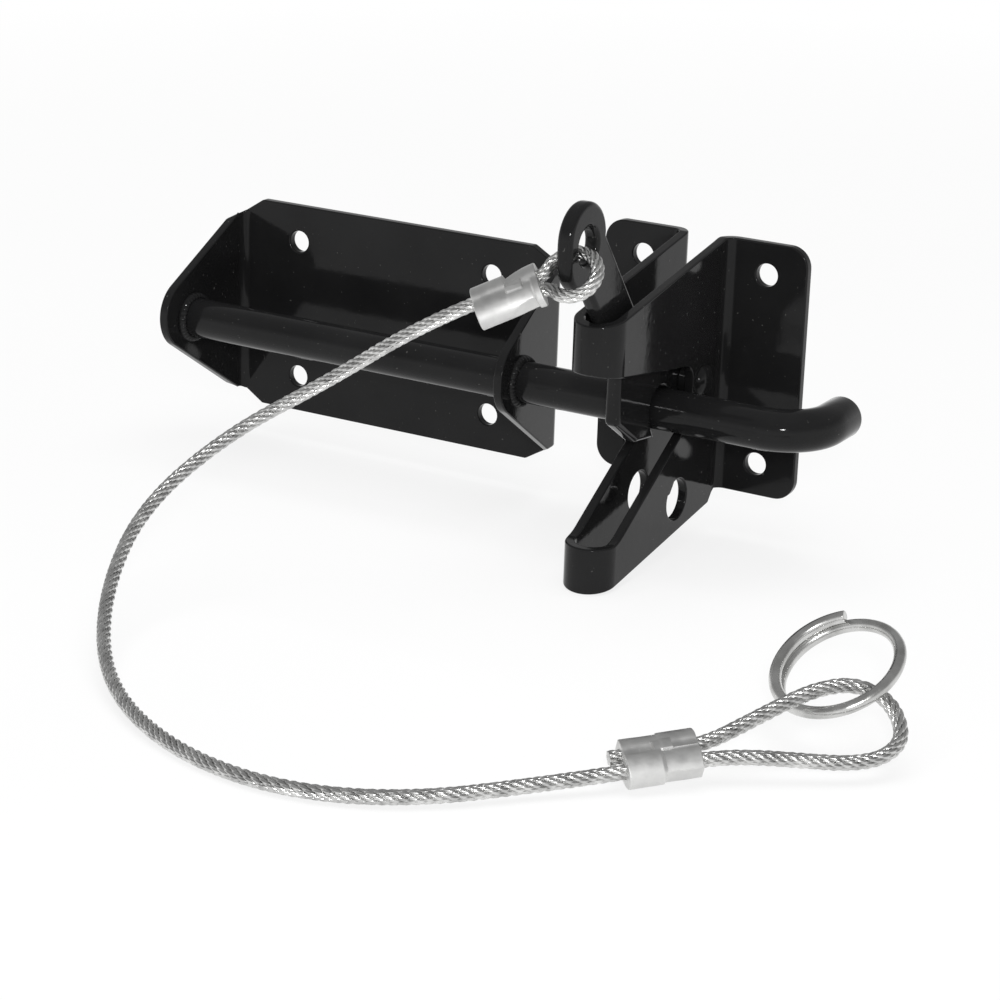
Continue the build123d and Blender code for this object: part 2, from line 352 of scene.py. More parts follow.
class Shader(NodeGraph):
    """A node material under construction."""

    def __init__(self, name: str) -> None:
        """Start a material with a principled shader and Object coordinates.

        Args:
            name: Name of the material.
        """
        self.material = bpy.data.materials.new(name)
        self.material.use_nodes = True
        super().__init__(self.material.node_tree, "Object")
        self.bsdf = self.tree.nodes["Principled BSDF"]

    def noise(self, scale: float, detail: float, stretch: Optional[Point] = None) -> Socket:
        """Noise on Object coordinates.

        Args:
            scale: Features per metre.
            detail: Octaves.
            stretch: Scale of each axis, where the pattern is drawn out.

        Returns:
            The noise's value.
        """
        coords = self.coords
        if stretch is not None:
            coords = self.node("Mapping", Vector=coords, Scale=stretch).outputs["Vector"]
        return self.node("TexNoise", Vector=coords, Scale=scale, Detail=detail).outputs["Fac"]

    def shade(self, value: Socket, stops: Pair, *colours: Point) -> Socket:
        """Colour from a value by a ramp of two colours.

        Args:
            value: Socket to read.
            stops: Values of the two colours.
            colours: Colour at each stop.

        Returns:
            The colour.
        """
        node = self.node("ValToRGB", Fac=value)
        for element, place, colour in zip(node.color_ramp.elements, stops, colours):
            element.position = place
            element.color = (*colour, 1.0)
        return node.outputs["Color"]


@dataclass(frozen=True)
class Relief:
    """Fine relief of a surface, from one noise."""

    scale: float
    detail: float
    strength: float
    depth: float
    stretch: Optional[Point] = None

    def build(self, shader: Shader, under: Optional[Socket]) -> Socket:
        """Bump the normal.

        Args:
            shader: Material under construction.
            under: Normal that this relief lies on.

        Returns:
            The bumped normal.
        """
        height = shader.noise(self.scale, self.detail, self.stretch)
        node = shader.node("Bump", Height=height, Strength=self.strength, Distance=self.depth)
        if under is not None:
            shader.plug(node, Normal=under)
        return node.outputs["Normal"]


@dataclass(frozen=True)
class Finish:
    """A surface of cloudy colour and uneven gloss with fine relief.

    Clouds and sheen are a noise's scale and detail, and stops are where the two colours lie.
    """

    name: str
    dark: Point
    light: Point
    clouds: Pair
    stops: Pair
    gloss: Pair
    sheen: Pair
    reliefs: tuple[Relief, ...]

    def build(self) -> bpy.types.Material:
        """Make the material.

        Returns:
            The material.
        """
        shader = Shader(self.name)
        normal = None
        for relief in self.reliefs:
            normal = relief.build(shader, normal)
        gloss = shader.spread(shader.noise(*self.sheen), NOISE_RANGE, self.gloss)
        colour = shader.shade(shader.noise(*self.clouds), self.stops, self.dark, self.light)
        shader.plug(shader.bsdf, Base_Color=colour, Roughness=gloss, Normal=normal)
        self.finish(shader, colour)
        return shader.material

    def finish(self, shader: Shader, colour: Socket) -> None:
        """Set what belongs to this kind of surface, here bare metal.

        Args:
            shader: Material under construction.
            colour: Its colour so far.
        """
        shader.plug(shader.bsdf, Metallic=1.0)


@dataclass(frozen=True)
class Coat(Finish):
    """A finish of paint, with specks of dust."""

    dust: Point
    specks: Pair
    speck_range: Pair
    specular: float

    def finish(self, shader: Shader, colour: Socket) -> None:
        """Scatter dust on the paint and set its shine.

        Args:
            shader: Material under construction.
            colour: Its colour so far.
        """
        share, under, over, result = 0, 6, 7, 2  # A Mix node's sockets for colours
        specks = shader.spread(shader.noise(*self.specks), self.speck_range, (0.0, 1.0))
        mix = shader.node("Mix")
        mix.data_type = "RGBA"
        shader.feed(mix.inputs[share], specks)
        shader.feed(mix.inputs[under], colour)
        shader.feed(mix.inputs[over], (*self.dust, 1.0))
        dusty = mix.outputs[result]
        shader.plug(shader.bsdf, Base_Color=dusty, Specular_IOR_Level=self.specular)


# Glossy black powder coat with orange peel and a little dust
POWDER_COAT = Coat(
    "black powder coat", dark=(0.009, 0.009, 0.0093), light=(0.013, 0.013, 0.0133),
    clouds=(45.0, 3.0), stops=NOISE_RANGE, gloss=(0.05, 0.11), sheen=(160.0, 3.0),
    reliefs=(Relief(330.0, 1.0, 0.2, 0.10 * MM), Relief(2400.0, 2.0, 0.2, 0.03 * MM)),
    dust=(0.07, 0.07, 0.067), specks=(950.0, 1.0), speck_range=(0.74, 0.80), specular=0.16,
)
# Drawn galvanized wire, brighter and greyer in patches
WIRE_ROPE = Finish(
    "galvanized wire", dark=(0.46, 0.46, 0.455), light=(0.76, 0.76, 0.75),
    clouds=(260.0, 3.0), stops=(0.32, 0.66), gloss=(0.24, 0.42), sheen=(700.0, 3.0),
    reliefs=(Relief(5200.0, 2.0, 0.25, 0.02 * MM),),
)
# Soft aluminium, dull from the press, with dents and drawn-out scuffs
PRESSED_SLEEVE = Finish(
    "pressed aluminium", dark=(0.64, 0.64, 0.635), light=(0.74, 0.74, 0.73),
    clouds=(190.0, 4.0), stops=(0.3, 0.62), gloss=(0.42, 0.58), sheen=(420.0, 3.0),
    reliefs=(
        Relief(300.0, 2.0, 0.25, 0.10 * MM),
        Relief(1500.0, 2.0, 0.25, 0.04 * MM, stretch=(1.0, 1.0, 0.25)),
    ),
)
# Bright plated ring wire with small scuffs
PLATED_WIRE = Finish(
    "bright plating", dark=(0.42, 0.42, 0.41), light=(0.66, 0.66, 0.65),
    clouds=(130.0, 4.0), stops=(0.3, 0.6), gloss=(0.18, 0.34), sheen=(500.0, 4.0),
    reliefs=(Relief(1100.0, 3.0, 0.2, 0.04 * MM),),
)


class Finishes:
    """The latch's four finishes, made once and shared."""

    def __init__(self) -> None:
        """Make the finish of each slot."""
        self.by_slot = {
            Slot.COAT: POWDER_COAT.build(),
            Slot.ROPE: WIRE_ROPE.build(),
            Slot.SLEEVE: PRESSED_SLEEVE.build(),
            Slot.RING: PLATED_WIRE.build(),
        }

    def dress(self, piece: Piece, slot: Slot) -> None:
        """Give a piece the one finish of a slot.

        Args:
            piece: Object to dress.
            slot: Record slot that the finish stands for.
        """
        piece.data.materials.clear()
        piece.data.materials.append(self.by_slot[slot])


def hand_over(piece: Piece, body: Body, slot: Slot, finishes: Finishes, *nodes: str) -> None:
    """Dress a new piece, set it on its body and let it stand for its CAD nodes.

    Args:
        piece: Finished object.
        body: Body that it rides on.
        slot: Record slot of its finish.
        finishes: The latch's finishes.
        nodes: CAD nodes that it replaces.
    """
    finishes.dress(piece, slot)
    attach(piece, body.value)
    if nodes:
        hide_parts(*nodes)
    LOG.info("%s: %d faces on %s", piece.name, len(piece.data.polygons), body.value)


# Coated steel


@dataclass(frozen=True)
class EarSet:
    """How the bracket's ears sit: tips a little high and slim, the right ear leaning out.

    Places are in Y and Z. The lean is the move along X for each step away from the plate.
    """

    bar: Pair = (-31.2 * MM, -8.3 * MM)
    drawn_radius: float = 13.8 * MM
    drawn_slack: float = 0.1 * MM
    tip: Pair = (-34.0 * MM, -6.6 * MM)
    tip_radius: float = 11.4 * MM
    tip_from_y: float = -6.0 * MM
    right_from_x: float = -56.0 * MM
    root_y: float = -3.0 * MM
    root_step: float = 0.6 * MM
    lean: float = 0.09

    def move(self, place: Vector) -> Vector:
        """Where a corner of the drawn bracket ends up.

        Args:
            place: The corner as drawn.

        Returns:
            The corner as bent.
        """
        x, y, z = place
        if x > self.right_from_x:
            x += self.root_step + self.lean * max(0.0, self.root_y - y)
        arm = Vector((y - self.bar[0], z - self.bar[1]))
        if abs(arm.length - self.drawn_radius) < self.drawn_slack and y < self.tip_from_y:
            arm *= self.tip_radius / self.drawn_radius
            y, z = self.tip[0] + arm.x, self.tip[1] + arm.y
        return Vector((x, y, z))


@dataclass(frozen=True)
class SoftenedSteel:
    """A coated steel part with the rounded edges that thick powder coat gives.

    Angles are in degrees: flat counts as one face, crease as an edge, and pinch as too close.
    """

    node: str
    name: str
    body: Body
    edge_round: float
    ears: Optional[EarSet] = None
    merged: float = 0.002 * MM
    flat: float = 0.4
    crease: float = 28.0
    pinch: float = 10.0
    segments: int = 4
    shading: float = 40.0

    def build(self, finishes: Finishes) -> None:
        """Round the edges of a copy of the solid and dress it.

        Args:
            finishes: The latch's finishes.
        """
        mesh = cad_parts[self.node].data.copy()
        mesh.name = self.name
        piece = show(bpy.data.objects.new(self.name, mesh))
        with edit_mode(piece):
            merge_doubles(self.merged)
            bpy.ops.mesh.dissolve_limited(angle_limit=radians(self.flat))
            bpy.ops.mesh.customdata_custom_splitnormals_clear()
        if self.ears:
            for vert in piece.data.vertices:
                vert.co = self.ears.move(vert.co)
        with edit_mode(piece):
            pick_edges(piece, lambda edge: self._is_sharp(edge) and not self._is_pinched(edge))
            bpy.ops.transform.edge_bevelweight(value=1.0)
        apply_modifier(
            piece, "BEVEL", width=self.edge_round, segments=self.segments, limit_method="WEIGHT",
            use_clamp_overlap=False, miter_outer="MITER_ARC",
        )
        smooth(piece, self.shading)
        apply_modifier(piece, "WEIGHTED_NORMAL", keep_sharp=True)
        hand_over(piece, self.body, Slot.COAT, finishes, self.node)

    def _is_sharp(self, edge: bmesh.types.BMEdge) -> bool:
        """Say whether an edge stands out and is creased enough to be rounded.

        Args:
            edge: Edge to judge.

        Returns:
            Whether it is sharp.
        """
        return edge.is_convex and edge.calc_face_angle(0.0) > radians(self.crease)

    def _is_pinched(self, edge: bmesh.types.BMEdge) -> bool:
        """Say whether an edge meets another sharp edge so closely that rounding would spike.

        Args:
            edge: Edge to judge.

        Returns:
            Whether it is pinched at either end.
        """
        for vert in edge.verts:
            ahead = edge.other_vert(vert).co - vert.co
            for other in vert.link_edges:
                if other is edge or not self._is_sharp(other):
                    continue
                if ahead.angle(other.other_vert(vert).co - vert.co) < radians(self.pinch):
                    return True
        return False


@dataclass(frozen=True)
class StrikeBar:
    """Round bar through both ears, bent back at its free end, with its weld beads."""

    radius: float = 6.35 * MM
    y: float = -31.2 * MM
    z: float = -8.3 * MM
    left: float = -173.0 * MM
    bend_x: float = 34.8 * MM
    bend_radius: float = 15.0 * MM
    end_y: float = -6.0 * MM
    sides: int = 72
    bend_steps: int = 24
    end_round: float = 1.0 * MM
    end_segments: int = 5
    shading: float = 32.0
    left_weld_x: float = -168.9 * MM
    right_weld_x: float = -45.9 * MM

    def build(self, finishes: Finishes) -> None:
        """Model the bar and its two weld beads.

        Args:
            finishes: The latch's finishes.
        """
        hand_over(self._bar(), Body.CATCH, Slot.COAT, finishes, "strike_bar")
        for bead in (
            WeldBead("left_weld_bead", (self.left_weld_x, self.y, self.z), seed=0),
            WeldBead("right_weld_bead", (self.right_weld_x, self.y, self.z), seed=1),
        ):
            hand_over(bead.build(), Body.CATCH, Slot.COAT, finishes)

    def _bar(self) -> Piece:
        """Extrude and spin a disc along the bar's line, and round its ends.

        Returns:
            The bar.
        """
        bar = primitive(
            "strike_bar_round", bpy.ops.mesh.primitive_circle_add,
            vertices=self.sides, radius=self.radius, fill_type="NGON",
            location=(self.left, self.y, self.z), rotation=(0.0, RIGHT_ANGLE, 0.0),
        )
        settle(bar)
        centre = (self.bend_x, self.y + self.bend_radius, self.z)
        with edit_mode(bar):
            bpy.ops.mesh.select_all(action="SELECT")
            draw_out(self.bend_x - self.left, 0.0, 0.0)
            bpy.ops.mesh.spin(
                steps=self.bend_steps, angle=-RIGHT_ANGLE, center=centre, axis=(0.0, 0.0, 1.0)
            )
            draw_out(0.0, self.end_y - (self.y + self.bend_radius), 0.0)
            merge_doubles(HAIR)
            bpy.ops.mesh.select_all(action="DESELECT")
            bpy.ops.mesh.select_interior_faces()
            bpy.ops.mesh.delete(type="FACE")
            pick_edges(bar, lambda edge: all(
                vert.co.x < self.left + HAIR or vert.co.y > self.end_y - HAIR for vert in edge.verts
            ))
            bpy.ops.mesh.bevel(offset=self.end_round, segments=self.end_segments, affect="EDGES")
            face_outwards()
        smooth(bar, self.shading)
        return bar


@dataclass(frozen=True)
class WeldBead:
    """Rippled ring of weld in the corner of the bar and an ear.

    Its place is on the ear's face. Ripples, drifts and swells are counted round the bar, and their
    heights are shares of the bead's own.
    """

    name: str
    place: Point
    seed: int
    ring_radius: float = 6.6 * MM
    section_radius: float = 1.5 * MM
    around: int = 150
    across: int = 20
    stretch: float = 1.375
    flattened: float = 0.05
    ripples: int = 34
    ripple_height: float = 0.10
    drifts: int = 5
    drift: float = 0.7
    swells: int = 3
    swell_height: float = 0.06
    outward: float = 0.9
    shading: float = 80.0

    def build(self) -> Piece:
        """Flatten one side of a ring and ripple the other.

        Returns:
            The finished bead.
        """
        bead = primitive(
            self.name, bpy.ops.mesh.primitive_torus_add, location=(0.0, 0.0, 0.0),
            major_segments=self.around, minor_segments=self.across,
            major_radius=self.ring_radius, minor_radius=self.section_radius,
        )
        with edit_mode(bead):
            bpy.ops.mesh.select_all(action="SELECT")
            bpy.ops.transform.resize(value=(1.0, 1.0, self.stretch))
            pick_verts(bead, lambda place: place.z < 0.0)
            bpy.ops.transform.resize(
                value=(1.0, 1.0, self.flattened), center_override=(0.0, 0.0, 0.0)
            )
        for vert in bead.data.vertices:
            vert.co += self._ripple(vert.co)
        settle(bead, axes_matrix(self.place, *ALONG_BAR))
        smooth(bead, self.shading)
        return bead

    def _ripple(self, place: Vector) -> Vector:
        """How far the ripples move a point.

        Args:
            place: Point of the smooth bead.

        Returns:
            Its move, which differs from bead to bead by the seed.
        """
        angle = Vector((place.x, place.y)).angle_signed(Vector((1.0, 0.0)), 0.0)
        drift = self.drift * sin(self.drifts * angle)
        ripple = sin(self.ripples * angle + self.seed + drift) * self.ripple_height
        ripple += sin(self.swells * angle + 2 * self.seed) * self.swell_height
        lift = max(place.z, 0.0) * ripple
        out = Vector((place.x, place.y, 0.0)).normalized()
        return out * lift * self.outward + Vector((0.0, 0.0, lift))


@dataclass(frozen=True)
class PivotPin:
    """The lever's rivet, with a domed and slightly flattened head on each side.

    The dome is the share of a quarter turn that each head is drawn through.
    """

    node: str = "pivot_rivet"
    wall: float = 8.0 * MM
    shank: float = 3.2 * MM
    sides: int = 48
    dome_steps: int = 10
    dome: float = 0.93
    shading: float = 50.0

    def build(self, finishes: Finishes) -> None:
        """Model the rivet from a cylinder with a dome drawn out of each end.

        Args:
            finishes: The latch's finishes.
        """
        low, high = (Vector(corner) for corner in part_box(self.node))
        head = (high.y - low.y) / 2
        height = (high.x - low.x) / 2 - self.wall
        pin = primitive(
            "pivot_rivet_domed", bpy.ops.mesh.primitive_cylinder_add,
            vertices=self.sides, radius=self.shank, depth=2 * self.wall,
        )
        with edit_mode(pin):
            for side in (-1, 1):
                pick_verts(pin, lambda place: place.z * side > self.wall - HAIR)
                draw_out(0, 0, 0)
                self._widen(head / self.shank, side * self.wall)
                ring, rise = head, 0.0
                for step in range(1, self.dome_steps + 1):
                    angle = step / self.dome_steps * RIGHT_ANGLE * self.dome
                    draw_out(0, 0, side * (height * sin(angle) - rise))
                    rise = height * sin(angle)
                    self._widen(head * cos(angle) / ring, side * (self.wall + rise))
                    ring = head * cos(angle)
            merge_doubles(HAIR)
            face_outwards()
        settle(pin, axes_matrix(tuple((low + high) / 2), *ALONG_BAR))
        smooth(pin, self.shading)
        hand_over(pin, Body.CATCH, Slot.COAT, finishes, self.node)

    @staticmethod
    def _widen(scale: float, z: float) -> None:
        """Scale the selected ring about the rivet's axis.

        Args:
            scale: New radius over old radius.
            z: Height of the ring.
        """
        bpy.ops.transform.resize(value=(scale, scale, 1.0), center_override=(0, 0, z))


# Pull cable


@dataclass(frozen=True)
class RopeLay:
    """How the rope is made: strands round a core, each strand of several wires.

    The lobes are the height of the points from the crown of one wire to the next.
    """

    radius: float = 2.0 * MM
    strands: int = 6
    strand_radius: float = 0.75 * MM
    lay_length: float = 16.5 * MM
    wires: int = 6
    wire_lay: float = 7.0 * MM
    lobes: tuple[float, ...] = (1.0, 0.93, 0.80, 0.93)
    spacing: float = 0.75 * MM

    def profile(self) -> list[Pair]:
        """Radius and angle of each point round one strand.

        Returns:
            The points, wire by wire.
        """
        heights = self.lobes * self.wires
        return [
            (self.strand_radius * height, tau * index / len(heights))
            for index, height in enumerate(heights)
        ]


def spline_points(name: str, route: Sequence[Vector], steps: int) -> list[Vector]:
    """Points along the smooth curve of a route.

    Args:
        name: Name for the temporary curve.
        route: Control points in metres.
        steps: Curve resolution between control points.

    Returns:
        The curve's points in order.
    """
    curve = bpy.data.curves.new(name, "CURVE")
    curve.dimensions = "3D"
    spline = curve.splines.new("NURBS")
    spline.points.add(len(route) - 1)
    for point, place in zip(spline.points, route):
        point.co = (*place, 1.0)
    spline.order_u = SPLINE_ORDER
    spline.use_endpoint_u = True
    curve.resolution_u = steps
    holder = show(bpy.data.objects.new(name, curve))
    bpy.context.view_layer.update()
    mesh = bpy.data.meshes.new_from_object(holder)
    points = [vert.co.copy() for vert in mesh.vertices]
    bpy.data.meshes.remove(mesh)
    bpy.data.objects.remove(holder)
    bpy.data.curves.remove(curve)
    return points


def walk(points: Sequence[Vector], spacing: float) -> list[Vector]:
    """Points a steady distance apart along a curve's points.

    Args:
        points: The curve's points.
        spacing: Wanted distance, in metres.

    Returns:
        Evenly spaced points, with both ends kept.
    """
    reach = [0.0]
    for before, after in zip(points, points[1:]):
        reach.append(reach[-1] + (after - before).length)
    count = max(2, round(reach[-1] / spacing))
    placed = []
    leg = 0
    for index in range(count + 1):
        goal = reach[-1] * index / count
        while leg < len(points) - 2 and reach[leg + 1] < goal:
            leg += 1
        span = reach[leg + 1] - reach[leg]
        share = (goal - reach[leg]) / span if span else 0.0
        placed.append(points[leg].lerp(points[leg + 1], share))
    return placed


def line_length(points: Sequence[Vector]) -> float:
    """Length of a line of points.

    Args:
        points: Points of the line.

    Returns:
        Its length.
    """
    return sum((after - before).length for before, after in zip(points, points[1:]))


@dataclass(frozen=True)
class Rope:
    """One stretch of the twisted wire rope along a route."""

    name: str
    route: Sequence[Vector]
    lay: RopeLay = field(default_factory=RopeLay)
    steps: int = 24
    shading: float = 60.0

    def build(self) -> tuple[Piece, list[Vector]]:
        """Lay the strands along the route's curve.

        Returns:
            The rope's mesh object and the points of its centre line.
        """
        centre = walk(spline_points(self.name, self.route, self.steps), self.lay.spacing)
        across = self._across(centre)
        step = line_length(centre) / (len(centre) - 1)
        verts: list[Vector] = []
        faces: list[tuple[int, ...]] = []
        for strand in range(self.lay.strands + 1):
            faces += self._skin(len(verts), len(centre))
            verts += self._strand(strand, centre, across, step)
        mesh = bpy.data.meshes.new(self.name)
        mesh.from_pydata(verts, [], faces)
        mesh.update()
        piece = show(bpy.data.objects.new(self.name, mesh))
        with edit_mode(piece):
            face_outwards()
        smooth(piece, self.shading)
        return piece, centre

    def _strand(
        self, strand: int, centre: Sequence[Vector],
        across: Sequence[tuple[Vector, Vector]], step: float,
    ) -> list[Vector]:
        """Points of one strand, ring by ring, or of the core after the last strand.

        Args:
            strand: Number of the strand.
            centre: Points of the rope's line.
            across: Two directions across the line at each point.
            step: Distance between the line's points.

        Returns:
            The points.
        """
        lay = self.lay
        profile = lay.profile()
        ride = 0.0 if strand == lay.strands else lay.radius - lay.strand_radius
        points = []
        for index, (place, (side, up)) in enumerate(zip(centre, across)):
            turn = tau * (strand / lay.strands + index * step / lay.lay_length)
            wind = -tau * index * step / lay.wire_lay
            out = side * cos(turn) + up * sin(turn)
            beside = up * cos(turn) - side * sin(turn)
            middle = place + out * ride
            for radius, angle in profile:
                points.append(
                    middle + (out * cos(angle + wind) + beside * sin(angle + wind)) * radius
                )
        return points

    def _skin(self, first: int, rings: int) -> list[tuple[int, ...]]:
        """Faces of one strand, with a cap at each end.

        Args:
            first: Number of the strand's first point.
            rings: Number of rings along it.

        Returns:
            The faces.
        """
        ring = len(self.lay.profile())
        last = first + (rings - 1) * ring
        faces = []
        for low in range(first, last, ring):
            for side in range(ring):
                beside = (side + 1) % ring
                faces.append((low + side, low + beside, low + ring + beside, low + ring + side))
        faces.append(tuple(reversed(range(first, first + ring))))
        faces.append(tuple(range(last, last + ring)))
        return faces

    @staticmethod
    def _across(centre: Sequence[Vector]) -> list[tuple[Vector, Vector]]:
        """Two directions across the line at each point, carried along without twist.

        Args:
            centre: Points of the line.

        Returns:
            The first and second direction at each point.
        """
        ahead = [(after - before).normalized() for before, after in zip(centre, centre[1:])]
        ahead.append(ahead[-1])
        side = ahead[0].orthogonal().normalized()
        across = []
        for heading in ahead:
            side = (side - heading * side.dot(heading)).normalized()
            across.append((side, heading.cross(side)))
        return across


def level(profile: Sequence[Pair], place: float) -> float:
    """Height of a broken line at a place, flat beyond its ends.

    Args:
        profile: Places and heights of its corners.
        place: Where to read it.

    Returns:
        The height.
    """
    if place <= profile[0][0]:
        return profile[0][1]
    for (before, low), (after, high) in zip(profile, profile[1:]):
        if place <= after:
            return low + (high - low) * (place - before) / (after - before)
    return profile[-1][1]


@dataclass(frozen=True)
class CrimpedSleeve:
    """Double-barrel sleeve, bitten from both narrow sides by the crimping die.

    The bites are broken lines of distance from the mouth and depth, and the block is where metal
    was squeezed up between the barrels, all in millimetres.
    """

    name: str
    place: Matrix
    over: Sequence[Pair]
    under: Sequence[Pair]
    block: Pair
    seam: float = 0.0
    length: float = 19.3 * MM
    width: float = 14.0 * MM
    height: float = 8.6 * MM
    valley: float = 0.85 * MM
    valley_reach: float = 1.5 * MM
    block_half: float = 1.6 * MM
    block_rise: float = 0.2
    necking: float = 0.075 / MM
    sides: int = 112
    rows: int = 64
    end_round: float = 0.3 * MM
    end_segments: int = 3
    shading: float = 50.0

    def build(self) -> Piece:
        """Draw an oval tube out row by row, press its valley and its bites, and round its ends.

        Returns:
            The finished sleeve.
        """
        sleeve = primitive(
            self.name, bpy.ops.mesh.primitive_circle_add,
            vertices=self.sides, radius=self.width / 2, fill_type="NGON",
        )
        with edit_mode(sleeve):
            bpy.ops.mesh.select_all(action="SELECT")
            bpy.ops.transform.resize(value=(1.0, self.height / self.width, 1.0))
            for _ in range(self.rows):
                draw_out(0.0, 0.0, self.length / self.rows)
            face_outwards()
        for vert in sleeve.data.vertices:
            vert.co = self._pressed(vert.co)
        with edit_mode(sleeve):
            pick_edges(sleeve, lambda edge: all(
                vert.co.z < HAIR or vert.co.z > self.length - HAIR for vert in edge.verts
            ))
            bpy.ops.mesh.bevel(offset=self.end_round, segments=self.end_segments, affect="EDGES")
        settle(sleeve, self.place)
        smooth(sleeve, self.shading)
        return sleeve

    def _pressed(self, place: Vector) -> Vector:
        """Where the press leaves a point of the oval tube.

        Args:
            place: Point of the tube, along local Z.

        Returns:
            The point, moved in where the barrels meet and where the die bit.
        """
        x, y, z = place
        off_seam = (x - self.seam) / self.valley_reach
        groove = self.valley * exp(-off_seam * off_seam)
        if self.block[0] < z / MM < self.block[1] and abs(x - self.seam) < self.block_half:
            groove *= -self.block_rise
        edge = self.width / 2
        bite = level(self.over if x > 0 else self.under, z / MM) * MM
        limit = edge - bite
        narrow = min(abs(x), limit) if bite > 0 else abs(x) * limit / edge
        thick = max(0.0, abs(y) - groove) * (1 - self.necking * max(0.0, bite))
        return Vector((copysign(narrow, x), copysign(thick, y), z))


@dataclass(frozen=True)
class SplitRing:
    """A little over one turn of round plated wire, placed by its middle and its axes."""

    name: str = "split_ring_wire"
    wire: float = 1.65 * MM
    radius: float = 16.5 * MM
    turns: float = 1.32
    pitch: float = 3.4 * MM
    place: tuple[Point, ...] = (
        (0.105056, -0.127602, -0.035012),
        (-0.74823, -0.48958, -0.44772),
        (0.62881, -0.73852, -0.24329),
        (-0.21154, -0.46357, 0.86044),
    )
    sides: int = 28
    steps: int = 150
    end_round: float = 0.25 * MM
    end_segments: int = 2
    shading: float = 50.0

    def build(self) -> Piece:
        """Screw a circle round the ring's axis, cap its ends and round the cut edges.

        Returns:
            The finished ring.
        """
        rise = self.pitch * self.turns
        ring = primitive(
            self.name, bpy.ops.mesh.primitive_circle_add,
            vertices=self.sides, radius=self.wire, fill_type="NOTHING",
            location=(self.radius, 0.0, -rise / 2), rotation=(RIGHT_ANGLE, 0.0, 0.0),
        )
        settle(ring)
        apply_modifier(
            ring, "SCREW", angle=-tau * self.turns, screw_offset=rise, axis="Z", steps=self.steps,
            render_steps=self.steps, use_merge_vertices=False, use_smooth_shade=True,
        )
        with edit_mode(ring):
            pick_edges(ring, lambda edge: edge.is_boundary)
            bpy.ops.mesh.edge_face_add()
            face_outwards()
            pick_edges(ring, lambda edge: any(len(face.verts) > QUAD for face in edge.link_faces))
            bpy.ops.mesh.bevel(offset=self.end_round, segments=self.end_segments, affect="EDGES")
        settle(ring, axes_matrix(*self.place))
        smooth(ring, self.shading)
        return ring


